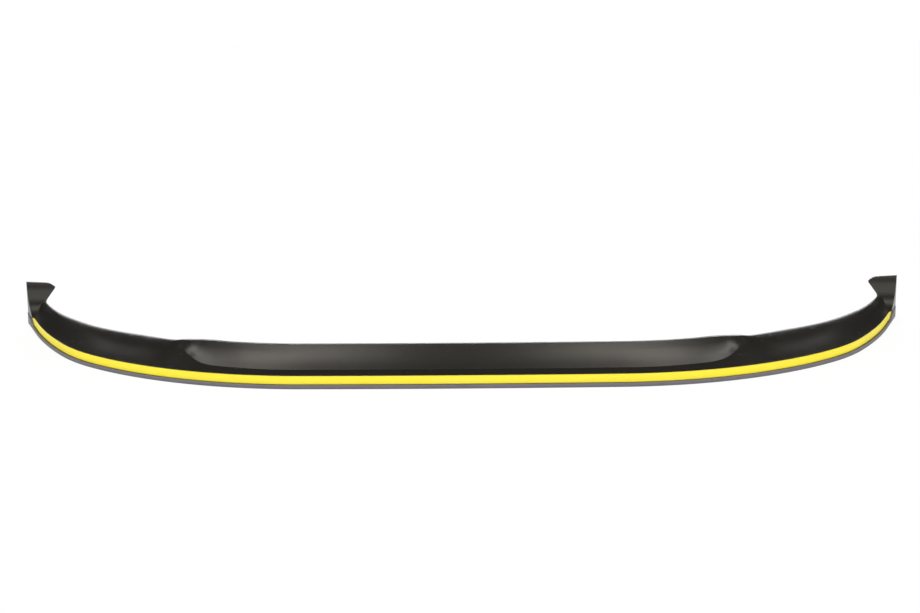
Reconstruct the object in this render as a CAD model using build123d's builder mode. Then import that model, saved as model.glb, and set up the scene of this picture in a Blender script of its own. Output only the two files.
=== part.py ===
from build123d import *
from math import atan2, cos, degrees, radians, sin, tan
import os

os.makedirs("parts", exist_ok=True)

# Front splitter lip: a one-piece moulded skin, open towards the car, with a yellow trim strip.
# Millimetres, X across the car, Y from the nose towards the car, Z up from the ground side.

# Plan of the nose line, from the middle outwards: radius and turn of each arc, then the straight tail
centre_radius, centre_turn = 13000, 1.2
shoulder_radius, shoulder_turn = 605, 40
corner_radius, corner_turn = 380, 16.5
leg_radius, leg_turn = 940, 10.9
tail_length = 146
end_face_y = 484

# Moulding
skin = 4
blade_height = 7.5
blade_reach = 4.5
front_height = 23.2
nose_radius = 1.6
nose_chamfer = 1.2
front_radius = 0.8
flange_reach = 24

# Centre ramp: place along the nose line, inset, height and slope of its foot, inset and height of its head
ramp_level = (22, 28.6, 18, 62, 62.5)
ramp_level_places = (-86, 0, 86, 172, 258)
ramp_end_stations = (
    (344, 22.2, 28.6, 18, 62, 62.5),
    (430, 24.7, 29.7, 21, 62.8, 62.5),
    (447, 26, 30.4, 23, 64.2, 62.5),
    (464, 29, 32.2, 25, 66.4, 62),
    (481, 35, 35.8, 27, 69.5, 60.7),
    (498, 44, 40.6, 25, 73.3, 58.8),
    (515, 55.5, 44.6, 18, 78, 56.3),
    (532, 70.5, 47.6, 7, 84, 53.2),
    (549, 86.5, 49.3, -8, 91.5, 50.3),
)
ramp_land = 9

# Side shelf at even steps from the end of the ramp to the end of the leg: inset and height of its rear edge
shelf_edges = (
    (97, 47.7),
    (93.3, 47),
    (80.3, 46.8),
    (61.8, 46.4),
    (44.7, 46),
    (34.2, 45.7),
    (33.3, 45.5),
)
shelf_margin = 17
shelf_front_slope = 11
edge_fall = 15
edge_width = 5
front_step = 0.8

# Winglet at each end: height, outline seen from the front as inset from the outer corner, inner sweep
winglet_height = 84
winglet_inner_height = 81.5
winglet_top_inset = 46
winglet_tip_inset = 58
winglet_tip_height = 73
winglet_tip_radius = 5
winglet_neck_inset = 38
winglet_neck_height = 46
winglet_sweep = 64
winglet_wall_gap = 2
winglet_edge_inset = 0.8

# Rim rise: at the end of the leg the blade edge rises and closes the recess of the trim strip to a point
rise_length = 52
rise_tip_length = 3
recess_overlap = 0.3

# Yellow trim strip, seated in a groove in the front wall
trim_thickness = 1.2
trim_seat = 0.8
trim_gap = 0.1
trim_border = 0.2

# Screw holes
screw_hole_radius = 3
centre_screw_spacing = 210
end_screw_inset, end_screw_height = 21, 24

with BuildLine() as nose_line:
    centre_arc = JernArc(start=(0, 0), tangent=(1, 0), radius=centre_radius, arc_size=centre_turn)
    shoulder_arc = JernArc(centre_arc @ 1, centre_arc % 1, shoulder_radius, shoulder_turn)
    corner_arc = JernArc(shoulder_arc @ 1, shoulder_arc % 1, corner_radius, corner_turn)
    leg_arc = JernArc(corner_arc @ 1, corner_arc % 1, leg_radius, leg_turn)
    tail = Line(leg_arc @ 1, (leg_arc @ 1) + (leg_arc % 1) * tail_length)
nose = nose_line.wires()[0]
outer_x = (tail @ 0).X + (end_face_y - (tail @ 0).Y) * (tail % 0).X / (tail % 0).Y


def section_plane(place):
    # upright plane across the nose line: its x runs inwards from the nose, its y runs up
    side = 1 if place >= 0 else -1
    spot = nose.position_at(abs(place), position_mode=PositionMode.LENGTH)
    along = nose.tangent_at(abs(place), position_mode=PositionMode.LENGTH)
    inward = (-side * along.Y, along.X, 0)
    return Plane(origin=(side * spot.X, spot.Y, 0), x_dir=inward, z_dir=(along.X, side * along.Y, 0))


ramp_stations = [(place,) + ramp_level for place in ramp_level_places]
ramp_stations += ramp_end_stations
level_count = len(ramp_level_places) + 2
ramp_count = len(ramp_stations) + 1

shelf_start = ramp_stations[-1][0] + shelf_margin
shelf_step = (nose.length - shelf_margin - shelf_start) / (len(shelf_edges) - 1)
shelf_stations = [(shelf_start + i * shelf_step,) + shelf_edges[i] for i in range(len(shelf_edges))]


def under(corner, before, after):
    # the same corner on the inside of the skin, between an edge at slope before and one at slope after
    middle = radians((before + after) / 2)
    gap = skin / cos(radians((after - before) / 2))
    return (corner[0] + gap * sin(middle), corner[1] - gap * cos(middle))


def ahead(point, slope, run):
    return (point[0] + run, point[1] + run * tan(radians(slope)))


def skin_section(place, foot, foot_slope, head, back):
    # closed outline of the skin: front slope, sloping face and land on top, one skin below them the inside
    start = (blade_reach + skin / 2, front_height + front_step)
    inner_start = (start[0], start[1] - skin)
    face_slope = degrees(atan2(head[1] - foot[1], head[0] - foot[0]))
    land_slope = degrees(atan2(back[1] - head[1], back[0] - head[0]))
    inner_foot = under(foot, foot_slope, face_slope)
    inner_head = under(head, face_slope, land_slope)
    inner_back = (back[0], back[1] - skin)
    reach = 0.4 * (foot[0] - start[0])
    with BuildSketch(section_plane(place)) as section:
        with BuildLine():
            Line(inner_start, start)
            Bezier(start, ahead(start, shelf_front_slope, reach), ahead(foot, foot_slope, -reach), foot)
            Polyline(foot, head, back, inner_back, inner_head, inner_foot)
            Bezier(
                inner_foot,
                ahead(inner_foot, foot_slope, -reach),
                ahead(inner_start, shelf_front_slope, reach),
                inner_start,
            )
        make_face()
    return section.sketch


skin_rows = []
for place, foot, foot_height, foot_slope, head, head_height in ramp_stations:
    land_end = (min(head + ramp_land, shelf_stations[0][1] - front_radius), head_height)
    skin_rows.append((place, (foot, foot_height), foot_slope, (head, head_height), land_end))
for place, edge, height in shelf_stations:
    foot = (edge - edge_width, height + edge_width * tan(radians(edge_fall)))
    head = (edge - edge_width / 3, height + edge_width / 5)
    skin_rows.append((place, foot, -edge_fall, head, (edge, height)))
skin_sections = [skin_section(*row) for row in skin_rows]

with BuildPart() as middle_skin:
    for section in skin_sections[:level_count]:
        add(section)
    loft()

with BuildPart() as ramp_end_skin:
    for section in skin_sections[level_count - 1 : ramp_count]:
        add(section)
    loft()

with BuildPart() as side_skin:
    for section in skin_sections[ramp_count - 1 :]:
        add(section)
    loft()

# Front band: blade edge and upright front wall, one profile swept along the nose line
with BuildPart() as band:
    with BuildSketch(section_plane(0)) as band_profile:
        with BuildLine():
            Polyline(
                (0, 0),
                (0, blade_height),
                (blade_reach, blade_height),
                (blade_reach, front_height),
                (blade_reach + skin, front_height),
                (blade_reach + skin, 0),
                close=True,
            )
        make_face()
        chamfer(band_profile.vertices().sort_by_distance((0, 0))[0], nose_chamfer)
        fillet(band_profile.vertices().sort_by_distance((0, blade_height))[0], nose_radius)
        fillet(band_profile.vertices().sort_by_distance((blade_reach, front_height))[0], front_radius)
    sweep(path=nose)



def recess_sweep(depth):
    # strip of space in front of the upright wall, from the nose line to a depth behind it
    with BuildPart() as recess:
        with BuildSketch(section_plane(0)):
            with Locations((0, nose_radius)):
                Rectangle(depth, front_height - recess_overlap - nose_radius, align=(Align.MIN, Align.MIN))
        sweep(path=nose)
    return recess.part


def rise_side(gap):
    # side outline of what lies under the rising rim, or past its tip
    with BuildSketch(Plane.YZ) as side:
        with BuildLine():
            Polyline(
                (end_face_y - rise_length, 0),
                (end_face_y - rise_length, blade_height - nose_radius / 2),
                (end_face_y - rise_tip_length, front_height),
                (end_face_y - rise_tip_length, winglet_height),
                (end_face_y + tail_length, winglet_height),
                (end_face_y + tail_length, 0),
                close=True,
            )
        make_face()
        if gap:
            offset(amount=gap)
    return side.sketch


with BuildPart() as rim_rise:
    add(recess_sweep(blade_reach + recess_overlap + skin / 4))
    extrude(rise_side(0), amount=outer_x + tail_length, both=True, mode=Mode.INTERSECT)

# Winglet: the leg's skin sweeps up to a hooked tab that closes the end towards the wheel arch
sweep_centre_y = end_face_y - skin - winglet_sweep
neck_x = outer_x - winglet_neck_inset


def leg_plan(inset):
    with BuildSketch(Plane.XY) as plan:
        with BuildLine():
            add([leg_arc.edge(), tail.edge()])
            Polyline(tail @ 1, (outer_x / 2, (tail @ 1).Y), (outer_x / 2, (leg_arc @ 0).Y), leg_arc @ 0)
        make_face()
        offset(amount=-inset, kind=Kind.INTERSECTION)
    return plan.sketch


def sweep_side(inset):
    radius = winglet_sweep + inset
    with BuildSketch(Plane.YZ) as side:
        with BuildLine():
            rise = JernArc((sweep_centre_y, winglet_height - radius), (1, 0), radius, 90)
            Polyline(
                rise @ 1,
                (end_face_y + skin, winglet_height),
                (end_face_y + skin, skin / 2),
                (sweep_centre_y, skin / 2),
                rise @ 0,
            )
        make_face()
    return side.sketch


with BuildSketch(Plane.XZ.offset(-end_face_y)) as winglet_outline:
    with BuildLine():
        Polyline(
            (outer_x + skin, skin / 2),
            (outer_x + skin, winglet_height),
            (outer_x - winglet_top_inset, winglet_inner_height),
            (outer_x - winglet_tip_inset, winglet_tip_height),
            (neck_x, winglet_neck_height),
            (neck_x, skin / 2),
            close=True,
        )
    make_face()
    fillet(winglet_outline.vertices().sort_by(Axis.X)[0], winglet_tip_radius)
    neck = winglet_outline.vertices().sort_by_distance((neck_x, winglet_neck_height))[0]
    fillet(neck, 3 * winglet_tip_radius)

with BuildPart() as winglet:
    extrude(winglet_outline.sketch, amount=winglet_sweep + skin)
    extrude(sweep_side(0), amount=outer_x + skin, both=True, mode=Mode.INTERSECT)
    extrude(leg_plan(winglet_edge_inset), amount=winglet_height, mode=Mode.INTERSECT)
    add(recess_sweep(blade_reach + recess_overlap), mode=Mode.SUBTRACT)

with BuildPart() as winglet_hollow:
    with BuildSketch(Plane.XZ.offset(skin - end_face_y)):
        with Locations((outer_x, 0)):
            Rectangle(2 * winglet_tip_inset, winglet_inner_height - skin, align=(Align.CENTER, Align.MIN))
    extrude(amount=winglet_sweep)
    extrude(sweep_side(skin), amount=outer_x + skin, both=True, mode=Mode.INTERSECT)
    extrude(leg_plan(blade_reach + skin + winglet_wall_gap), amount=winglet_height, mode=Mode.INTERSECT)

# Flange: flat bottom plate from the front wall to a rear edge that stands out past the shelf
rear_line = [(place, head + ramp_land) for place, foot, low, slope, head, high in ramp_stations]
rear_line = rear_line[:level_count] + [row[:2] for row in shelf_stations]
with BuildPart() as flange:
    with BuildSketch():
        with BuildLine():
            front = Spline([section_plane(row[0]).from_local_coords((blade_reach, 0)) for row in rear_line])
            rear = Spline(
                [section_plane(row[0]).from_local_coords((row[1] + flange_reach, 0)) for row in rear_line]
            )
            Line(front @ 0, rear @ 0)
            Line(front @ 1, rear @ 1)
        make_face()
    extrude(amount=skin)


def trim_sweep(depth_in, depth_out, border):
    with BuildPart() as strip:
        with BuildSketch(section_plane(0)):
            with Locations((blade_reach + depth_in, blade_height + border)):
                Rectangle(
                    depth_in + depth_out,
                    front_height - front_radius - blade_height - 2 * border,
                    align=(Align.MAX, Align.MIN),
                )
        sweep(path=nose)
    return strip.part


with BuildPart() as groove:
    add(trim_sweep(trim_seat + trim_gap, trim_seat, trim_border - trim_gap))
    extrude(rise_side(0), amount=outer_x + tail_length, both=True, mode=Mode.SUBTRACT)

with BuildPart() as yellow_stripe:
    add(trim_sweep(trim_seat, trim_thickness - trim_seat, trim_border))
    extrude(rise_side(trim_gap), amount=outer_x + tail_length, both=True, mode=Mode.SUBTRACT)
    mirror(about=Plane.YZ)

# Screw places: in the middle of the flange where it stands out past the skin, and low in the end walls
centre_screw_y = ramp_level[3] + ramp_land + flange_reach / 2
side_screws = []
for row in (shelf_stations[0], shelf_stations[len(shelf_stations) // 2]):
    side_screws.append(section_plane(row[0]).from_local_coords((row[1] + flange_reach / 2, 0, 0)))
end_screw_x = outer_x - end_screw_inset

with BuildPart() as lip_moulding:
    add(band.part)
    add(middle_skin.part)
    add(ramp_end_skin.part)
    add(side_skin.part)
    add(rim_rise.part)
    add(winglet.part)
    add(winglet_hollow.part, mode=Mode.SUBTRACT)
    add(groove.part, mode=Mode.SUBTRACT)
    add(flange.part)
    with Locations((0, end_face_y, 0)):
        Box(
            3 * outer_x,
            2 * tail_length,
            3 * winglet_height,
            align=(Align.CENTER, Align.MIN, Align.CENTER),
            mode=Mode.SUBTRACT,
        )
    split(bisect_by=Plane.YZ)
    mirror(about=Plane.YZ)
    with Locations((0, centre_screw_y, skin / 2)):
        with GridLocations(centre_screw_spacing, 0, 4, 1):
            Cylinder(screw_hole_radius, 2 * skin, mode=Mode.SUBTRACT)
    for spot in side_screws:
        with Locations((spot.X, spot.Y, skin / 2), (-spot.X, spot.Y, skin / 2)):
            Cylinder(screw_hole_radius, 2 * skin, mode=Mode.SUBTRACT)
    with Locations((end_screw_x, end_face_y, end_screw_height), (-end_screw_x, end_face_y, end_screw_height)):
        Cylinder(screw_hole_radius, 3 * skin, rotation=(90, 0, 0), mode=Mode.SUBTRACT)

# The library frame has its origin under the middle of the part, on the ground plane
to_centre = Location((0, -end_face_y / 2, 0))
lip_part = lip_moulding.part.moved(to_centre)
stripe_part = yellow_stripe.part.moved(to_centre)
lip_part.label = "lip_moulding"
stripe_part.label = "yellow_stripe"
export_step(lip_part, "parts/lip_moulding.step")
export_step(stripe_part, "parts/yellow_stripe.step")
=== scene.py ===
import bpy
from math import atan2, cos, degrees, radians, sin, sqrt, tan
from mathutils import Matrix, Vector


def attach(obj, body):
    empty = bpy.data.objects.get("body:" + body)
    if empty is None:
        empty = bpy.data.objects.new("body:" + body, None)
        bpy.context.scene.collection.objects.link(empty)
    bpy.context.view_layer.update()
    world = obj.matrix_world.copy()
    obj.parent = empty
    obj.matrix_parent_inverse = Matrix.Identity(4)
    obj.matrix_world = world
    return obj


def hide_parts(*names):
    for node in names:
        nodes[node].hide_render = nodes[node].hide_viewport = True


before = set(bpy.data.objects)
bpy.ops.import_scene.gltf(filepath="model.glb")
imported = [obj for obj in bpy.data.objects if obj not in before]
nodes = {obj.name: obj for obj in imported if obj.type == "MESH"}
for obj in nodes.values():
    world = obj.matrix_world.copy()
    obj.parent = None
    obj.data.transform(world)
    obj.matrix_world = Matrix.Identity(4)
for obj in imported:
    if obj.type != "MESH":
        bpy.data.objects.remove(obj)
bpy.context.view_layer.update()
print("frame loaded:", sorted(nodes))


def deselectAll():
    if bpy.context.object and bpy.context.object.mode != "OBJECT":
        bpy.ops.object.mode_set(mode="OBJECT")
    bpy.ops.object.select_all(action="DESELECT")


def makeActive(piece):
    deselectAll()
    piece.select_set(True)
    bpy.context.view_layer.objects.active = piece


def applyModifiers(piece):
    makeActive(piece)
    for modifier in list(piece.modifiers):
        bpy.ops.object.modifier_apply(modifier=modifier.name)


def turnNormalsOut():
    bpy.ops.object.mode_set(mode="EDIT")
    bpy.ops.mesh.select_all(action="SELECT")
    bpy.ops.mesh.normals_make_consistent(inside=False)
    bpy.ops.object.mode_set(mode="OBJECT")


# small helpers for node trees
def addNode(tree, kind, place, **values):
    node = tree.nodes.new(kind)
    node.location = place
    for name, value in values.items():
        if hasattr(node, name):
            setattr(node, name, value)
        else:
            node.inputs[name].default_value = value
    return node


def newGroup(name, inputs, outputs):
    group = bpy.data.node_groups.new(name, "ShaderNodeTree")
    for label, kind, value in inputs:
        socket = group.interface.new_socket(name=label, in_out="INPUT", socket_type=kind)
        if value is not None:
            socket.default_value = value
    for label, kind in outputs:
        group.interface.new_socket(name=label, in_out="OUTPUT", socket_type=kind)
    start = group.nodes.new("NodeGroupInput")
    end = group.nodes.new("NodeGroupOutput")
    start.location, end.location = (-700, 0), (900, 0)
    return group, start, end


# fine sprayed grain of a moulded part, plus the slow waviness of its skin
def buildGrainGroup():
    group, start, end = newGroup(
        "mouldedGrain",
        [("Vector", "NodeSocketVector", None), ("Grain Scale", "NodeSocketFloat", 1400.0),
         ("Wave Scale", "NodeSocketFloat", 6.0), ("Wave Depth", "NodeSocketFloat", 0.5)],
        [("Height", "NodeSocketFloat"), ("Speckle", "NodeSocketFloat"), ("Cloud", "NodeSocketFloat")])
    link = group.links.new
    fine = addNode(group, "ShaderNodeTexNoise", (-450, 250), Detail=4.0, Roughness=0.6)
    pits = addNode(group, "ShaderNodeTexVoronoi", (-450, 0), feature="SMOOTH_F1", Smoothness=0.6)
    wave = addNode(group, "ShaderNodeTexNoise", (-450, -280), Detail=3.0, Roughness=0.5)
    pitDepth = addNode(group, "ShaderNodeMath", (-200, 0), operation="MULTIPLY")
    pitDepth.inputs[1].default_value = 0.7
    both = addNode(group, "ShaderNodeMath", (0, 150), operation="ADD")
    waveDepth = addNode(group, "ShaderNodeMath", (-200, -280), operation="MULTIPLY")
    height = addNode(group, "ShaderNodeMath", (250, 50), operation="ADD")
    for node in (fine, pits, wave):
        link(start.outputs["Vector"], node.inputs["Vector"])
    link(start.outputs["Grain Scale"], fine.inputs["Scale"])
    link(start.outputs["Grain Scale"], pits.inputs["Scale"])
    link(start.outputs["Wave Scale"], wave.inputs["Scale"])
    link(pits.outputs["Distance"], pitDepth.inputs[0])
    link(fine.outputs["Fac"], both.inputs[0])
    link(pitDepth.outputs[0], both.inputs[1])
    link(wave.outputs["Fac"], waveDepth.inputs[0])
    link(start.outputs["Wave Depth"], waveDepth.inputs[1])
    link(both.outputs[0], height.inputs[0])
    link(waveDepth.outputs[0], height.inputs[1])
    link(height.outputs[0], end.inputs["Height"])
    link(fine.outputs["Fac"], end.inputs["Speckle"])
    link(wave.outputs["Fac"], end.inputs["Cloud"])
    return group


# marks and edges: thin streaks along the part, a little dust on what faces up, and a pointiness mask of
# convex edges
def buildMarksAndSheenGroup():
    group, start, end = newGroup(
        "marksAndEdgeSheen",
        [("Vector", "NodeSocketVector", None), ("Streak Scale", "NodeSocketFloat", 30.0),
         ("Dust Scale", "NodeSocketFloat", 90.0)],
        [("Streaks", "NodeSocketFloat"), ("Dust", "NodeSocketFloat"), ("Edges", "NodeSocketFloat")])
    link = group.links.new
    stretch = addNode(group, "ShaderNodeMapping", (-480, 260))
    stretch.inputs["Scale"].default_value = (0.25, 3.0, 3.0)
    streak = addNode(group, "ShaderNodeTexNoise", (-280, 260), Detail=6.0, Roughness=0.7, Distortion=0.4)
    streakRange = addNode(group, "ShaderNodeMapRange", (-60, 260))
    streakRange.inputs["From Min"].default_value = 0.52
    streakRange.inputs["From Max"].default_value = 0.72
    dust = addNode(group, "ShaderNodeTexNoise", (-280, 0), Detail=8.0, Roughness=0.75)
    dustRange = addNode(group, "ShaderNodeMapRange", (-60, 0))
    dustRange.inputs["From Min"].default_value = 0.48
    dustRange.inputs["From Max"].default_value = 0.75
    geometry = addNode(group, "ShaderNodeNewGeometry", (-480, -260))
    split = addNode(group, "ShaderNodeSeparateXYZ", (-280, -260))
    facesUp = addNode(group, "ShaderNodeMapRange", (-60, -260))
    facesUp.inputs["From Min"].default_value = 0.3
    dustUp = addNode(group, "ShaderNodeMath", (180, -60), operation="MULTIPLY")
    edgeRange = addNode(group, "ShaderNodeMapRange", (-60, -520))
    edgeRange.inputs["From Min"].default_value = 0.53
    edgeRange.inputs["From Max"].default_value = 0.62
    link(start.outputs["Vector"], stretch.inputs["Vector"])
    link(stretch.outputs["Vector"], streak.inputs["Vector"])
    link(start.outputs["Streak Scale"], streak.inputs["Scale"])
    link(streak.outputs["Fac"], streakRange.inputs["Value"])
    link(start.outputs["Vector"], dust.inputs["Vector"])
    link(start.outputs["Dust Scale"], dust.inputs["Scale"])
    link(dust.outputs["Fac"], dustRange.inputs["Value"])
    link(geometry.outputs["Normal"], split.inputs["Vector"])
    link(split.outputs["Z"], facesUp.inputs["Value"])
    link(dustRange.outputs["Result"], dustUp.inputs[0])
    link(facesUp.outputs["Result"], dustUp.inputs[1])
    link(geometry.outputs["Pointiness"], edgeRange.inputs["Value"])
    link(streakRange.outputs["Result"], end.inputs["Streaks"])
    link(dustUp.outputs[0], end.inputs["Dust"])
    link(edgeRange.outputs["Result"], end.inputs["Edges"])
    return group


grainGroup = buildGrainGroup()
marksAndSheenGroup = buildMarksAndSheenGroup()
print("shader groups ready")


def mixColor(tree, place, factor, first, second):
    mix = addNode(tree, "ShaderNodeMix", place, data_type="RGBA")
    for index, value in ((6, first), (7, second)):
        if isinstance(value, tuple):
            mix.inputs[index].default_value = value + (1.0,)
        else:
            tree.links.new(value, mix.inputs[index])
    if factor is not None:
        tree.links.new(factor, mix.inputs[0])
    return mix.outputs[2]


def scaled(tree, place, source, amount, shift=0.0):
    node = addNode(tree, "ShaderNodeMath", place, operation="MULTIPLY_ADD")
    tree.links.new(source, node.inputs[0])
    node.inputs[1].default_value = amount
    node.inputs[2].default_value = shift
    return node.outputs[0]


def summed(tree, place, first, second):
    node = addNode(tree, "ShaderNodeMath", place, operation="ADD")
    tree.links.new(first, node.inputs[0])
    tree.links.new(second, node.inputs[1])
    return node.outputs[0]


def plasticMaterial(name, look):
    material = bpy.data.materials.new(name)
    material.use_nodes = True
    tree = material.node_tree
    shader = tree.nodes["Principled BSDF"]
    shader.inputs["IOR"].default_value = look["ior"]
    shader.inputs["Specular IOR Level"].default_value = look["specular"]
    shader.inputs["Specular Tint"].default_value = look["tint"] + (1.0,)
    coords = addNode(tree, "ShaderNodeTexCoord", (-1400, 0))
    grain = addNode(tree, "ShaderNodeGroup", (-1150, 150))
    grain.node_tree = grainGroup
    grain.inputs["Grain Scale"].default_value = look["grainScale"]
    grain.inputs["Wave Scale"].default_value = look["waveScale"]
    grain.inputs["Wave Depth"].default_value = look["waveDepth"]
    marks = addNode(tree, "ShaderNodeGroup", (-1150, -200))
    marks.node_tree = marksAndSheenGroup
    marks.inputs["Streak Scale"].default_value = look["streakScale"]
    tree.links.new(coords.outputs["Object"], grain.inputs["Vector"])
    tree.links.new(coords.outputs["Object"], marks.inputs["Vector"])
    # colour: the plastic, clouded, with edges lightened partly as scuffs and partly as a painted highlight
    # along them, and a breath of dust
    cloudy = mixColor(tree, (-800, 300), grain.outputs["Cloud"], look["color"], look["cloudColor"])
    # lighter convex edges: partly scuffed wear, partly a painted edge highlight
    edgeFactor = scaled(tree, (-900, -50), marks.outputs["Edges"], look["edgeScuffSheenAmount"])
    scuffedAndSheened = mixColor(tree, (-600, 300), edgeFactor, cloudy, look["scuffAndSheenColor"])
    dustFactor = scaled(tree, (-900, -250), marks.outputs["Dust"], look["dust"])
    dusty = mixColor(tree, (-400, 300), dustFactor, scuffedAndSheened, look["dustColor"])
    tree.links.new(dusty, shader.inputs["Base Color"])
    # roughness: grain speckle, streaks and clouds around the plain value
    plain = look["roughness"] - look["speckle"] / 2
    speckle = scaled(tree, (-800, 0), grain.outputs["Speckle"], look["speckle"], plain)
    streaked = scaled(tree, (-800, -150), marks.outputs["Streaks"], look["streaks"])
    roughness = summed(tree, (-600, 0), speckle, streaked)
    dulled = scaled(tree, (-600, -200), marks.outputs["Dust"], look["dustDulls"])
    roughness = summed(tree, (-400, 0), roughness, dulled)
    tree.links.new(roughness, shader.inputs["Roughness"])
    bump = addNode(tree, "ShaderNodeBump", (-400, -300))
    bump.inputs["Strength"].default_value = look["bump"]
    bump.inputs["Distance"].default_value = look["bumpDistance"]
    tree.links.new(grain.outputs["Height"], bump.inputs["Height"])
    tree.links.new(bump.outputs["Normal"], shader.inputs["Normal"])
    return material


# nose line, in millimetres: radius and turn in degrees of each arc, then a straight tail
noseLine = {
    "arcs": ((13000.0, 1.2), (605.0, 40.0), (380.0, 16.5), (940.0, 10.9)), "tail": 146.0,
    "endFace": 484.0, "midShift": -242.0,
}
# sizes of the section, in millimetres; sharp, soft and inside are the radii of its small corners
section = {
    "skin": 4.0, "bladeHeight": 7.5, "bladeReach": 4.5, "frontHeight": 23.2, "frontStep": 0.8,
    "noseRadius": 1.6, "noseChamfer": 1.2, "frontRadius": 0.8, "flangeReach": 24.0, "land": 9.0,
    "grooveDepth": 0.9, "grooveFoot": 7.6, "grooveHead": 22.3, "startSlope": 20.0,
    "creaseRadius": 1.4, "headRadius": 2.2, "rearRadius": 1.2,
    "faceHollow": 0.9, "fullFace": 40.0, "rollShare": 0.13, "rollTilt": 0.145, "rollSlope": 4.0,
    "rollHead": 0.62,
    "slopeReach": 0.4, "slopeFrom": 0.04, "slopeSteps": 16, "insideFrom": 0.78, "insideSteps": 10,
    "sharp": 0.08, "soft": 0.12, "inside": 0.6,
}
# place along the nose: foot inset, foot height, foot slope, head inset, head height, slope at the wall
rampRows = {
    0: (22, 28.6, 18, 62, 62.5, 11), 86: (22, 28.6, 18, 62, 62.5, 11),
    172: (22, 28.6, 18, 62, 62.5, 11), 258: (22, 28.6, 18, 62, 62.5, 11),
    344: (22.2, 28.6, 18, 62, 62.5, 11), 430: (24.7, 29.7, 20, 62.8, 62.5, 12),
    447: (26, 30.4, 20, 64.2, 62.5, 14), 464: (29, 32.2, 21, 66.4, 62, 17),
    481: (35, 35.6, 23, 69.5, 60.7, 21), 498: (44, 40.1, 22, 73.3, 58.8, 23),
    515: (55.5, 43.4, 18, 78, 56.3, 22), 532: (70.5, 45.9, 13, 84, 53.6, 21),
    549: (86.5, 47.8, 8, 91.5, 50.8, 20),
}
# side shelf in even steps from 566 to 17 short of the line's end: rear edge inset and height
shelfRows = ((97, 47.7), (93.3, 47), (80.3, 46.8), (61.8, 46.4), (44.7, 46), (34.2, 45.7), (33.3, 45.5))
shelfStart, shelfMargin = 566.0, 17.0


def placeOnNose(distance):
    x = y = heading = 0.0
    left = distance
    for radius, turn in noseLine["arcs"]:
        angle = min(left / radius, radians(turn))
        x += radius * (sin(heading + angle) - sin(heading))
        y += radius * (cos(heading) - cos(heading + angle))
        heading += angle
        left -= radius * angle
        if left <= 1e-9:
            return x, y, heading
    return x + left * cos(heading), y + left * sin(heading), heading


noseLength = sum(radius * radians(turn) for radius, turn in noseLine["arcs"]) + noseLine["tail"]


def acrossNose(distance, inset, height):
    x, y, heading = placeOnNose(distance)
    across = y + inset * cos(heading) + noseLine["midShift"]
    return 0.001 * (x - inset * sin(heading)), 0.001 * across, 0.001 * height


def sectionRows():
    rows = []
    landLimit = shelfRows[0][0] - section["frontRadius"]
    for place, (foot, low, slope, head, high, wallSlope) in rampRows.items():
        landEdge = min(head + section["land"], landLimit)
        rows.append((place, foot, low, slope, head, high, landEdge, high, wallSlope))
    step = (noseLength - shelfMargin - shelfStart) / (len(shelfRows) - 1)
    for i, (edge, height) in enumerate(shelfRows):
        roll = edge * section["rollShare"]
        foot, low = edge - roll, height + roll * section["rollTilt"]
        head, high = edge - roll / 3, height + roll * section["rollTilt"] * section["rollHead"]
        rows.append((shelfStart + i * step, foot, low, section["rollSlope"], head, high,
                     edge, height, section["startSlope"]))
    return rows


rows = sectionRows()


# smooth value of each row column at any place along the nose
def rowAt(distance):
    i = max(j for j in range(len(rows) - 1) if j == 0 or rows[j][0] <= distance)
    here, there = rows[i], rows[i + 1]
    before = rows[i - 1] if i else None
    after = rows[i + 2] if i + 2 < len(rows) else None
    span = there[0] - here[0]
    t = min(max((distance - here[0]) / span, 0.0), 1.0)
    values = []
    for c in range(1, len(here)):
        leaving = (there[c] - before[c]) / (there[0] - before[0]) if before else 0.0
        arriving = (after[c] - here[c]) / (after[0] - here[0]) if after else 0.0
        a = t * t * (3 - 2 * t)
        values.append(here[c] * (1 - a) + there[c] * a
                      + span * (leaving * t * (1 - t) ** 2 - arriving * t * t * (1 - t)))
    return values


# limits of a rounding: share of the shorter side, half angle of a nearly straight corner and its reach
rounding = {"share": 0.45, "straight": 1.5533, "straightReach": 0.2}


def roundCorner(before, corner, after, radius, count):
    corner = Vector(corner)
    inward, outward = Vector(before) - corner, Vector(after) - corner
    half = inward.angle(outward) / 2
    reach = rounding["straightReach"]
    if half < rounding["straight"]:
        reach = min(radius / tan(half), rounding["share"] * min(inward.length, outward.length))
    start = corner + inward.normalized() * reach
    end = corner + outward.normalized() * reach
    return [tuple(start.lerp(corner, t).lerp(corner.lerp(end, t), t))
            for t in (k / (count - 1) for k in range(count))]


def bezierPoints(start, startSlope, end, endSlope, reach, fromShare, count):
    first = Vector(start)
    second = first + Vector((reach, reach * tan(radians(startSlope))))
    fourth = Vector(end)
    third = fourth - Vector((reach, reach * tan(radians(endSlope))))
    points = []
    for k in range(count):
        t = fromShare + (1 - fromShare) * k / (count - 1)
        near = first * (1 - t) ** 3 + second * 3 * t * (1 - t) ** 2
        points.append(tuple(near + third * 3 * t * t * (1 - t) + fourth * t ** 3))
    return points


def underSkin(corner, before, after):
    middle = radians((before + after) / 2)
    gap = section["skin"] / cos(radians((after - before) / 2))
    return corner[0] + gap * sin(middle), corner[1] - gap * cos(middle)


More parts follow.
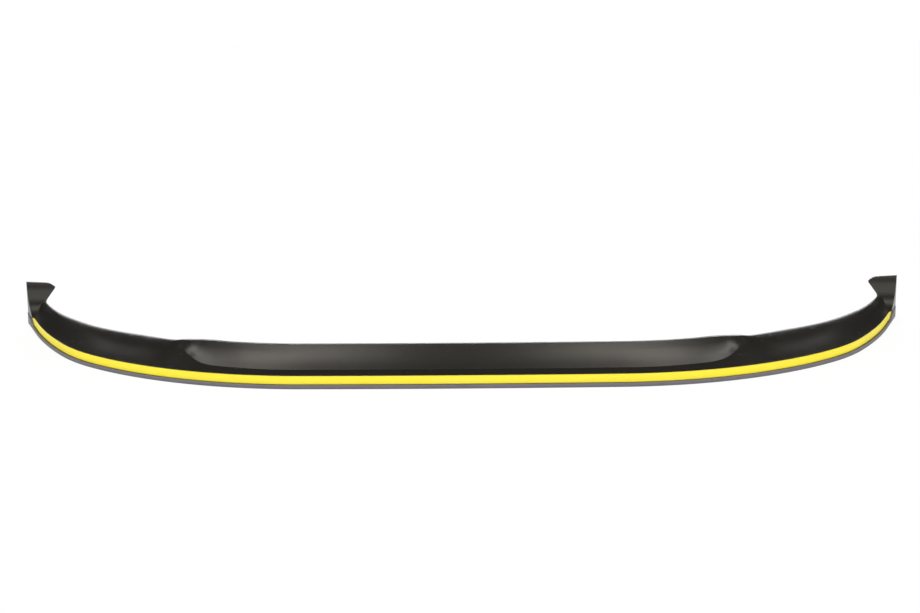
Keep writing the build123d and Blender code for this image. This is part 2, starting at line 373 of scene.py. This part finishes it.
# closed outline of the moulding at one place: flange, blade, wall with groove, skin, inside
def lipSection(distance):
    s = section
    footN, footZ, footSlope, headN, headZ, backN, backZ, wallSlope = rowAt(distance)
    foot, head, back = (footN, footZ), (headN, headZ), (backN, backZ)
    faceSlope = degrees(atan2(headZ - footZ, headN - footN))
    landSlope = degrees(atan2(backZ - headZ, backN - headN))
    start = (s["bladeReach"] + s["skin"] / 2, s["frontHeight"] + s["frontStep"])
    reach = s["slopeReach"] * (footN - start[0])
    innerFoot = underSkin(foot, footSlope, faceSlope)
    innerHead = underSkin(head, faceSlope, landSlope)
    wall, groove = s["bladeReach"], s["bladeReach"] + s["grooveDepth"]
    innerWall = wall + s["skin"]
    outerCurve = bezierPoints(start, wallSlope, foot, footSlope, reach, s["slopeFrom"], s["slopeSteps"])
    innerStart = (start[0], start[1] - s["skin"])
    share = (innerWall - start[0]) / max(innerFoot[0] - start[0], 1) * s["insideFrom"]
    innerCurve = bezierPoints(innerStart, wallSlope, innerFoot, footSlope, reach, share, s["insideSteps"])
    flangeEnd = backN + s["flangeReach"]
    corners = [
        ((flangeEnd, 0), s["inside"], 3), ((s["noseChamfer"], 0), 0.3, 2), ((0, s["noseChamfer"]), 0.3, 2),
        ((0, s["bladeHeight"]), s["noseRadius"], 6), ((wall, s["bladeHeight"]), s["soft"], 2),
        ((wall, s["grooveFoot"]), s["sharp"], 2), ((groove, s["grooveFoot"]), s["sharp"], 2),
        ((groove, s["grooveHead"]), s["sharp"], 2), ((wall, s["grooveHead"]), s["sharp"], 2),
        ((wall, s["frontHeight"]), s["frontRadius"], 5), ((start[0], s["frontHeight"]), 0.1, 2),
        (start, 0.4, 3),
    ]
    points = []
    outline = [c[0] for c in corners] + [outerCurve[0]]
    for i, (corner, radius, count) in enumerate(corners):
        before = (flangeEnd, s["skin"]) if i == 0 else outline[i - 1]
        points += roundCorner(before, corner, outline[i + 1], radius, count)
    points += outerCurve[:-1]
    points += roundCorner(outerCurve[-2], foot, head, s["creaseRadius"], 5)
    along = Vector((head[0] - foot[0], head[1] - foot[1]))
    hollow = s["faceHollow"] * min(1.0, along.length / s["fullFace"]) ** 2
    across = Vector((along[1], -along[0])).normalized() * hollow
    for t in (0.2, 0.3, 0.4, 0.5, 0.6, 0.7, 0.8):
        points.append(tuple(Vector(foot) + along * t + across * 4 * t * (1 - t)))
    points += roundCorner(foot, head, back, s["headRadius"], 5)
    points += roundCorner(head, back, (backN, backZ - s["skin"]), s["rearRadius"], 4)
    points += roundCorner(back, (backN, backZ - s["skin"]), innerHead, s["rearRadius"], 4)
    points += [innerHead, innerFoot]
    points += list(reversed(innerCurve[:-1]))
    points[-1] = (innerWall, innerCurve[0][1])
    points += [(innerWall, 0.5 * (innerCurve[0][1] + s["skin"]))]
    innerFloor, flangeTop = (innerWall, s["skin"]), (flangeEnd, s["skin"])
    points += roundCorner(points[-1], innerFloor, flangeTop, s["inside"], 3)
    points += roundCorner(innerFloor, flangeTop, (flangeEnd, 0), s["inside"], 3)
    return points


# distances in metres at which corners of the sections are welded, cut and joined to their mirror image
weld = {"corners": 0.000002, "cut": 0.000001, "mirror": 0.00001}


# a plane grid whose columns become places along the nose and whose rows become corners of the section
def noseTube(name, sectionAt, places):
    sections = [sectionAt(place) for place in places]
    columns, count = len(places), len(sections[0])
    deselectAll()
    bpy.ops.mesh.primitive_grid_add(x_subdivisions=columns - 1, y_subdivisions=count)
    tube = bpy.context.object
    tube.name = name
    for vertex in tube.data.vertices:
        column, row = vertex.index % columns, vertex.index // columns
        inset, height = sections[column][row % count]
        vertex.co = acrossNose(places[column], inset, height)
    bpy.ops.object.mode_set(mode="EDIT")
    bpy.ops.mesh.select_all(action="SELECT")
    bpy.ops.mesh.remove_doubles(threshold=weld["corners"])
    # cut at the end face and closed there, then mirrored at the middle
    end = 0.001 * (noseLine["endFace"] + noseLine["midShift"])
    bpy.ops.mesh.bisect(plane_co=(0, end, 0), plane_no=(0, 1, 0), use_fill=True, clear_outer=True,
                        threshold=weld["cut"])
    turnNormalsOut()
    mirror = tube.modifiers.new("mirror", "MIRROR")
    mirror.use_clip = True
    mirror.merge_threshold = weld["mirror"]
    applyModifiers(tube)
    turnNormalsOut()
    return tube


def evenPlaces(low, high, step):
    count = max(1, round((high - low) / step))
    return [low + (high - low) * k / count for k in range(count)]


# from, to and step of the sections: closest where the ramp ends
placeSpans = ((0, 258, 18), (258, 424, 9), (424, 600, 4.5), (600, noseLength, 9))
places = [place for span in placeSpans for place in evenPlaces(*span)] + [noseLength]


# flat outline pulled into a solid: the outline lies in the plane across axis, from low to high along it
def pulledOutline(name, outline, axis, low, high):
    deselectAll()
    bpy.ops.mesh.primitive_circle_add(vertices=len(outline), fill_type="NGON", radius=1)
    solid = bpy.context.object
    solid.name = name
    order = {"X": (1, 2, 0), "Y": (0, 2, 1), "Z": (0, 1, 2)}[axis]
    for vertex in solid.data.vertices:
        spot = [0.0, 0.0, 0.0]
        spot[order[0]], spot[order[1]] = outline[vertex.index]
        spot[order[2]] = low
        spot[1] += noseLine["midShift"]
        vertex.co = [0.001 * value for value in spot]
    pull = [0.0, 0.0, 0.0]
    pull[order[2]] = 0.001 * (high - low)
    bpy.ops.object.mode_set(mode="EDIT")
    bpy.ops.mesh.select_all(action="SELECT")
    bpy.ops.mesh.extrude_region_move(TRANSFORM_OT_translate={"value": pull})
    turnNormalsOut()
    return solid


# hole tolerant, because some of the faces that are joined nearly touch
def combine(piece, tool, operation):
    boolean = piece.modifiers.new("join", "BOOLEAN")
    boolean.operation = operation
    boolean.solver = "EXACT"
    boolean.use_hole_tolerant = True
    boolean.object = tool
    applyModifiers(piece)
    bpy.data.objects.remove(tool)
    return piece


# winglets: swept up from the leg's shelf to a hooked tab
winglet = {
    "height": 84.0, "innerHeight": 81.5, "topInset": 46.0, "topRadius": 24.0,
    "tipInset": 58.0, "tipHeight": 73.0, "tipRadius": 4.0,
    "neckInset": 38.0, "neckHeight": 46.0, "neckRadius": 15.0, "sweep": 64.0, "wallGap": 2.0,
    "edgeInset": 0.8, "sweepSteps": 28, "legLength": 420.0, "legStep": 12.0,
    "hollowInset": 66.0, "foot": 2.0, "recessOverlap": 0.3,
    "riseLength": 52.0, "riseTip": 3.0, "riseInside": 1.3, "riseBelow": 0.06, "endGap": 0.02,
}
# how far the forms that cut reach past the part
past = {"close": 4.0, "under": 2.0, "side": 20.0, "behind": 60.0}
endFace = noseLine["endFace"]
tailStart = placeOnNose(noseLength - noseLine["tail"])
outerX = tailStart[0] + (endFace - tailStart[1]) / tan(tailStart[2])


def sweepOutline(inset):
    radius = winglet["sweep"] + inset
    centreY = endFace - section["skin"] - winglet["sweep"]
    steps = winglet["sweepSteps"]
    arc = []
    for k in range(steps + 1):
        angle = radians(90 * k / steps)
        arc.append((centreY + radius * sin(angle), winglet["height"] - radius * cos(angle)))
    behind, foot = endFace + past["close"], winglet["foot"]
    return arc + [(behind, winglet["height"]), (behind, foot), (centreY, foot)]


def legOutline(inset):
    points = []
    legPlaces = evenPlaces(noseLength - winglet["legLength"], noseLength, winglet["legStep"])
    for place in legPlaces + [noseLength]:
        x, y, heading = placeOnNose(place)
        points.append((x - inset * sin(heading), y + inset * cos(heading)))
    return points + [(outerX / 2, points[-1][1]), (outerX / 2, points[0][1])]


# the rim's rise: a straight line from the blade's top to the wall's top, ending short of the end face
riseStart, riseEnd = endFace - winglet["riseLength"], endFace - winglet["riseTip"]


def riseHeight(y):
    low = section["bladeHeight"] - section["noseRadius"] / 2
    return low + (section["frontHeight"] - low) * (y - riseStart) / (riseEnd - riseStart)


# room that the rise takes from the yellow stripe, with a gap around it
def riseOutline(gap):
    start, tip = riseStart - gap, riseEnd - gap
    high, behind = winglet["height"] + past["close"] + gap, endFace + past["behind"] - gap
    low, top = riseHeight(riseStart) + gap, riseHeight(riseEnd) + gap
    return [(start, -past["under"]), (start, low), (tip, top),
            (tip, high), (behind, high), (behind, -past["under"])]


def boxCorners(near, far, low, high):
    return [(near, low), (near, high), (far, high), (far, low)]


# room of the yellow stripe, which the winglets leave free
def recessSection(distance):
    overlap = winglet["recessOverlap"]
    return boxCorners(-6, section["bladeReach"] + overlap, -3, section["frontHeight"] - overlap)


# box inside the blade that climbs to just below the recess at the end of the leg
def riseSection(distance):
    top = section["frontHeight"] - winglet["recessOverlap"] - winglet["riseBelow"]
    high = min(max(riseHeight(placeOnNose(distance)[1]), riseHeight(riseStart)), top)
    return boxCorners(winglet["endGap"], section["bladeReach"] + winglet["riseInside"],
                      section["noseRadius"], high)


def tabOutline():
    w = winglet
    neckX, side = outerX - w["neckInset"], outerX + past["close"]
    tip = (outerX - w["tipInset"], w["tipHeight"])
    neck, root = (neckX, w["neckHeight"]), (neckX, w["foot"])
    top = (outerX - w["topInset"], w["innerHeight"])
    outline = [(side, w["foot"]), (side, w["height"])]
    outline += roundCorner(outline[-1], top, tip, w["topRadius"], 7)
    outline += roundCorner(top, tip, neck, w["tipRadius"], 9)
    outline += roundCorner(tip, neck, root, w["neckRadius"], 11)
    return outline + [root]


def mirrored(piece):
    mirror = piece.modifiers.new("mirror", "MIRROR")
    mirror.use_bisect_axis[0] = False
    applyModifiers(piece)
    turnNormalsOut()
    return piece


def buildWinglets():
    w, s = winglet, section
    start = endFace - w["sweep"] - s["skin"]
    inner, outer = outerX / 2, outerX + past["side"]
    tab = pulledOutline("winglets", tabOutline(), "Y", start, endFace - w["endGap"] / 2)
    combine(tab, pulledOutline("sweepForm", sweepOutline(0), "X", inner, outer), "INTERSECT")
    legForm = pulledOutline("legForm", legOutline(w["edgeInset"]), "Z", 1, w["height"] + 2)
    combine(tab, legForm, "INTERSECT")
    left, right, top = outerX - w["hollowInset"], outerX + w["tipInset"], w["innerHeight"] - s["skin"]
    room = [(left, -1), (right, -1), (right, top), (left, top)]
    hollow = pulledOutline("hollow", room, "Y", start, endFace - s["skin"])
    combine(hollow, pulledOutline("hollowSweep", sweepOutline(s["skin"]), "X", inner, outer), "INTERSECT")
    legInside = s["bladeReach"] + s["skin"] + w["wallGap"]
    combine(hollow, pulledOutline("hollowLeg", legOutline(legInside), "Z", -1, w["height"]), "INTERSECT")
    combine(tab, hollow, "DIFFERENCE")
    return tab


# the edge colour lightens convex edges: partly scuffs, partly a painted edge highlight
lipLook = {
    "color": (0.0135, 0.0128, 0.0108), "cloudColor": (0.0165, 0.0155, 0.013),
    "scuffAndSheenColor": (0.075, 0.072, 0.066), "dustColor": (0.10, 0.095, 0.085),
    "ior": 1.5, "specular": 0.3, "tint": (1.0, 0.93, 0.84),
    "roughness": 0.24, "speckle": 0.06, "streaks": 0.03,
    "grainScale": 1400.0, "waveScale": 5.0, "waveDepth": 0.6, "streakScale": 24.0,
    "edgeScuffSheenAmount": 0.35, "dust": 0.02, "dustDulls": 0.04, "bump": 0.07, "bumpDistance": 0.00035,
}
# lighter grey look of the blade: a painted reflection of the white floor on its rounded edge and rim
bladeReflectionLook = dict(
    lipLook, color=(0.112, 0.104, 0.122), cloudColor=(0.15, 0.14, 0.165), scuffAndSheenColor=(0.22, 0.215, 0.23),
    tint=(1.0, 1.0, 1.0), roughness=0.5, bump=0.22)


# smooth except where faces meet at more than this angle
edgeAngle = radians(28)


def finishShading(piece):
    makeActive(piece)
    bpy.ops.object.shade_smooth_by_angle(angle=edgeAngle)
    weighted = piece.modifiers.new("weighted", "WEIGHTED_NORMAL")
    weighted.keep_sharp = True
    applyModifiers(piece)


# screw holes: in the flange behind the skin and low in the end walls, equal on both sides
screws = {
    "radius": 3.0, "sides": 32, "length": 12.0, "centreSpacing": 210.0,
    "endInset": 21.0, "endHeight": 24.0,
}


def screwHole(x, y, z, turn=0.0):
    deselectAll()
    bpy.ops.mesh.primitive_cylinder_add(
        vertices=screws["sides"], radius=0.001 * screws["radius"], depth=0.001 * screws["length"],
        location=(0.001 * x, 0.001 * (y + noseLine["midShift"]), 0.001 * z), rotation=(turn, 0, 0))
    return bpy.context.object


def screwPlaces():
    spots = []
    for k in (0.5, 1.5):
        inset = rowAt(0)[3] + section["land"] + section["flangeReach"] / 2
        spots.append((k * screws["centreSpacing"], inset))
    for place in (rows[len(rampRows)][0], rows[len(rampRows) + len(shelfRows) // 2][0]):
        x, y, heading = placeOnNose(place)
        inset = rowAt(place)[5] + section["flangeReach"] / 2
        spots.append((x - inset * sin(heading), y + inset * cos(heading)))
    return spots


# the lip moulding: skin with its screw holes, winglets and rim rise joined into one skin
lipMoulding = noseTube("lipMoulding", lipSection, places)
print("skin tube:", len(lipMoulding.data.polygons), "faces")
holes = []
for side in (1, -1):
    for x, y in screwPlaces():
        holes.append(screwHole(side * x, y, section["skin"] / 2))
    endX = side * (outerX - screws["endInset"])
    holes.append(screwHole(endX, endFace, screws["endHeight"], radians(90)))
deselectAll()
for hole in holes:
    hole.select_set(True)
bpy.context.view_layer.objects.active = holes[0]
bpy.ops.object.join()
combine(lipMoulding, holes[0], "DIFFERENCE")
print("screw holes cut:", len(lipMoulding.data.polygons), "faces")
wingletPiece = mirrored(buildWinglets())
combine(wingletPiece, noseTube("recess", recessSection, places), "DIFFERENCE")
print("winglet form:", len(wingletPiece.data.polygons), "faces")
combine(lipMoulding, wingletPiece, "UNION")
print("with winglets:", len(lipMoulding.data.polygons), "faces")
combine(lipMoulding, noseTube("rimRise", riseSection, places), "UNION")
print("with rim rise:", len(lipMoulding.data.polygons), "faces")
finishShading(lipMoulding)
lipMoulding.data.materials.clear()
lipMoulding.data.materials.append(plasticMaterial("blackPlastic", lipLook))
# second slot: the blade's painted floor reflection
lipMoulding.data.materials.append(plasticMaterial("bladeFloorReflection", bladeReflectionLook))


# inset of a point from the nose line, in millimetres
def insetOf(point):
    x, y = abs(point[0]) * 1000, point[1] * 1000 - noseLine["midShift"]
    startX = startY = heading = 0.0
    for radius, turn in noseLine["arcs"]:
        centreX, centreY = startX - radius * sin(heading), startY + radius * cos(heading)
        angle = atan2(x - centreX, centreY - y)
        if angle <= heading + radians(turn):
            return radius - sqrt((x - centreX) ** 2 + (y - centreY) ** 2)
        heading += radians(turn)
        startX, startY = centreX + radius * sin(heading), centreY - radius * cos(heading)
    return (y - startY) * cos(heading) - (x - startX) * sin(heading)


# the blade's edge and its rising rim get a lighter grey: a painted reflection of the white floor on the
# rounded lower edge; the ledge behind the nose stays black, reading as the shadow line under the stripe
floorReflectionZone = {"top": section["bladeHeight"] + 0.2, "inside": section["noseRadius"] + 0.1,
              "riseTop": section["frontHeight"] - 0.2, "riseInside": section["bladeReach"] - 0.05,
              "riseFrom": riseStart + noseLine["midShift"] - 1}
for face in lipMoulding.data.polygons:
    height, inset = face.center.z * 1000, insetOf(face.center)
    onEdge = height < floorReflectionZone["top"] and inset < floorReflectionZone["inside"]
    onRise = height < floorReflectionZone["riseTop"] and inset < floorReflectionZone["riseInside"]
    if onEdge or (onRise and face.center.y * 1000 > floorReflectionZone["riseFrom"]):
        face.material_index = 1
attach(lipMoulding, "root")
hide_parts("lip_moulding")
print("lip moulding ready")

# yellow stripe in the groove of the front wall
stripeLook = {
    "color": (0.97, 0.84, 0.06), "cloudColor": (0.95, 0.78, 0.045),
    "scuffAndSheenColor": (0.98, 0.88, 0.2), "dustColor": (0.75, 0.66, 0.25),
    "ior": 1.48, "specular": 0.2, "tint": (1.0, 1.0, 1.0),
    "roughness": 0.45, "speckle": 0.08, "streaks": 0.1,
    "grainScale": 900.0, "waveScale": 14.0, "waveDepth": 0.8, "streakScale": 40.0,
    "edgeScuffSheenAmount": 0.2, "dust": 0.12, "dustDulls": 0.04, "bump": 0.1, "bumpDistance": 0.0002,
    "near": 4.1, "far": 5.3, "low": 7.7, "high": 22.2, "round": 0.35, "gap": 0.1,
}


def stripeSection(distance):
    corners = boxCorners(*(stripeLook[side] for side in ("near", "far", "low", "high")))
    points = []
    for i in range(4):
        points += roundCorner(corners[i - 1], corners[i], corners[(i + 1) % 4], stripeLook["round"], 4)
    return points


yellowStripe = noseTube("yellowStripe", stripeSection, places)
farSide = outerX + past["side"]
riseForm = pulledOutline("riseForm", riseOutline(stripeLook["gap"]), "X", -farSide, farSide)
combine(yellowStripe, riseForm, "DIFFERENCE")
finishShading(yellowStripe)
yellowStripe.data.materials.clear()
yellowStripe.data.materials.append(plasticMaterial("yellowTrim", stripeLook))
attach(yellowStripe, "root")
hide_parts("yellow_stripe")
print("yellow stripe ready:", len(yellowStripe.data.polygons), "faces")

# white surroundings
stage = {
    "floorSize": 60.0, "floorPlace": (0, 10, 0), "floorColor": (0.93, 0.93, 0.93), "white": 1.0,
    "floorRoughness": 0.9, "floorGrain": 240.0, "floorBump": 0.05,
    "worldColor": (0.03, 0.03, 0.031), "worldStrength": 1.0,
    "whiteFrom": 0.9, "whiteTo": 1.8, "nearShare": 0.92,
    "wallPlace": 6.0, "wallSize": (6.4, 1.9), "wallGlow": 0.6,
}


# white to the camera, but it keeps the shadow: the lit colour only darkens the white
def floorMaterial():
    material = bpy.data.materials.new("paleFloor")
    material.use_nodes = True
    tree = material.node_tree
    link = tree.links.new
    shader = tree.nodes["Principled BSDF"]
    shader.inputs["Base Color"].default_value = stage["floorColor"] + (1.0,)
    shader.inputs["Roughness"].default_value = stage["floorRoughness"]
    shader.inputs["Specular IOR Level"].default_value = 0.0
    grainNoise = addNode(tree, "ShaderNodeTexNoise", (-500, -200), Scale=stage["floorGrain"], Detail=3.0)
    bump = addNode(tree, "ShaderNodeBump", (-250, -200))
    bump.inputs["Strength"].default_value = stage["floorBump"]
    link(grainNoise.outputs["Fac"], bump.inputs["Height"])
    link(bump.outputs["Normal"], shader.inputs["Normal"])
    glow = addNode(tree, "ShaderNodeEmission", (0, -250))
    glow.inputs["Strength"].default_value = stage["white"]
    path = addNode(tree, "ShaderNodeLightPath", (-250, 350))
    seen = addNode(tree, "ShaderNodeMath", (0, 350), operation="MAXIMUM")
    share = addNode(tree, "ShaderNodeMath", (180, 350), operation="MULTIPLY")
    coords = addNode(tree, "ShaderNodeTexCoord", (-700, 600))
    reach = addNode(tree, "ShaderNodeVectorMath", (-500, 600), operation="LENGTH")
    fade = addNode(tree, "ShaderNodeMapRange", (-300, 600))
    for label, value in (("From Min", stage["whiteFrom"]), ("From Max", stage["whiteTo"]),
                         ("To Min", stage["nearShare"]), ("To Max", 1.0)):
        fade.inputs[label].default_value = value
    link(coords.outputs["Object"], reach.inputs[0])
    link(reach.outputs["Value"], fade.inputs["Value"])
    link(fade.outputs["Result"], share.inputs[1])
    link(path.outputs["Is Camera Ray"], seen.inputs[0])
    link(path.outputs["Is Glossy Ray"], seen.inputs[1])
    link(seen.outputs[0], share.inputs[0])
    blend = addNode(tree, "ShaderNodeMixShader", (380, 0))
    link(share.outputs[0], blend.inputs["Fac"])
    link(shader.outputs["BSDF"], blend.inputs[1])
    link(glow.outputs["Emission"], blend.inputs[2])
    link(blend.outputs["Shader"], tree.nodes["Material Output"].inputs["Surface"])
    return material


deselectAll()
bpy.ops.mesh.primitive_plane_add(size=stage["floorSize"], location=stage["floorPlace"])
floor = bpy.context.object
floor.name = "floor"
bpy.ops.object.transform_apply(location=True, rotation=True, scale=True)
floor.data.materials.append(floorMaterial())

# low white wall far behind, which the rear edges mirror
deselectAll()
bpy.ops.mesh.primitive_plane_add(size=1, location=(0, stage["wallPlace"], stage["wallSize"][1] / 2),
                                 rotation=(radians(90), 0, 0))
wall = bpy.context.object
wall.name = "wall"
wall.scale = (stage["wallSize"][0], stage["wallSize"][1], 1)
bpy.ops.object.transform_apply(location=True, rotation=True, scale=True)
wallMaterial = bpy.data.materials.new("whiteWall")
wallMaterial.use_nodes = True
wallShader = wallMaterial.node_tree.nodes["Principled BSDF"]
wallShader.inputs["Base Color"].default_value = stage["floorColor"] + (1.0,)
wallShader.inputs["Emission Color"].default_value = (1.0, 1.0, 1.0, 1.0)
wallShader.inputs["Emission Strength"].default_value = stage["wallGlow"]
wall.data.materials.append(wallMaterial)

world = bpy.data.worlds.new("studio")
bpy.context.scene.world = world
world.use_nodes = True
background = world.node_tree.nodes["Background"]
background.inputs["Color"].default_value = stage["worldColor"] + (1.0,)
background.inputs["Strength"].default_value = stage["worldStrength"]
seenSky = addNode(world.node_tree, "ShaderNodeBackground", (0, -150), Color=(1.0, 1.0, 1.0, 1.0))
skyPath = addNode(world.node_tree, "ShaderNodeLightPath", (0, 350))
skyMix = addNode(world.node_tree, "ShaderNodeMixShader", (250, 100))
link = world.node_tree.links.new
link(skyPath.outputs["Is Camera Ray"], skyMix.inputs["Fac"])
link(background.outputs[0], skyMix.inputs[1])
link(seenSky.outputs[0], skyMix.inputs[2])
link(skyMix.outputs[0], world.node_tree.nodes["World Output"].inputs["Surface"])
print("stage ready")

# strip, bend and end lamps follow the line that the ramp mirrors; the fills light the rest
lamps = {
    "strip": {"place": (0.76, -0.40, 2.2), "aim": (0.33, -0.17, 0), "along": (0.92, 0.38, 0),
              "size": (1.0, 0.32), "power": 9.0, "sides": {"Left": -1, "Right": 1}},
    "bend": {"place": (1.58, 0.25, 2.2), "aim": (0.45, -0.15, 0), "along": (0.5, 0.8, 0),
             "size": (0.85, 0.26), "power": 4.6, "sides": {"Left": -1, "Right": 1}},
    "end": {"place": (2.02, 1.15, 2.2), "aim": (0.48, -0.15, 0), "along": (0.35, 1.05, 0),
            "size": (1.0, 0.34), "power": 4.8, "sides": {"Left": -1, "Right": 1}},
    "side": {"place": (4.0, -2.0, 2.4), "aim": (0.7, 0, 0), "along": (1, 0, 0),
             "size": (3.2, 1.8), "power": 85.0, "sides": {"Left": -1, "Right": 1}},
    "front": {"place": (0, -4.8, 3.0), "aim": (0, 0, 0), "along": (1, 0, 0),
              "size": (8.0, 4.0), "power": 178.0, "sides": {"Fill": 1}},
    # only brightens the hollow side, and is never seen itself
    "back": {"place": (0, 5.0, 0.9), "aim": (0, 0, 0), "along": (1, 0, 0),
             "size": (4.0, 1.0), "power": 350.0, "sides": {"Fill": 1}, "hidden": True},
}


def addLamp(name, side, lamp):
    spots = (lamp["place"], lamp["aim"], lamp["along"])
    place, aim, along = (Vector((side * x, y, z)) for x, y, z in spots)
    bpy.ops.object.light_add(type="AREA", location=place)
    light = bpy.context.object
    light.name = name
    light.data.shape = "RECTANGLE"
    light.data.size, light.data.size_y = lamp["size"]
    light.data.energy = lamp["power"]
    back = (place - aim).normalized()
    along = (along - back * along.dot(back)).normalized()
    light.rotation_euler = Matrix((along, back.cross(along), back)).transposed().to_euler()
    light.visible_camera = light.visible_glossy = not lamp.get("hidden", False)


for lampName, lamp in lamps.items():
    for ending, side in lamp["sides"].items():
        addLamp(lampName + ending, side, lamp)
print("lamps ready")

# the photograph's viewpoint
view = {
    "place": (-0.0034, -3.2536, 0.8636), "tilt": 13.45, "roll": 0.435, "lens": 72.31,
    "sensor": 36.0, "farthest": 100.0,
}
bpy.ops.object.camera_add()
camera = bpy.context.object
camera.name = "camera"
camera.data.sensor_width = view["sensor"]
camera.data.lens = view["lens"]
camera.data.clip_end = view["farthest"]
camera.matrix_world = (Matrix.Translation(view["place"])
                       @ Matrix.Rotation(radians(90 - view["tilt"]), 4, "X")
                       @ Matrix.Rotation(radians(-view["roll"]), 4, "Z"))
bpy.context.scene.camera = camera
bpy.context.scene.view_settings.view_transform = "Standard"
print("camera ready")
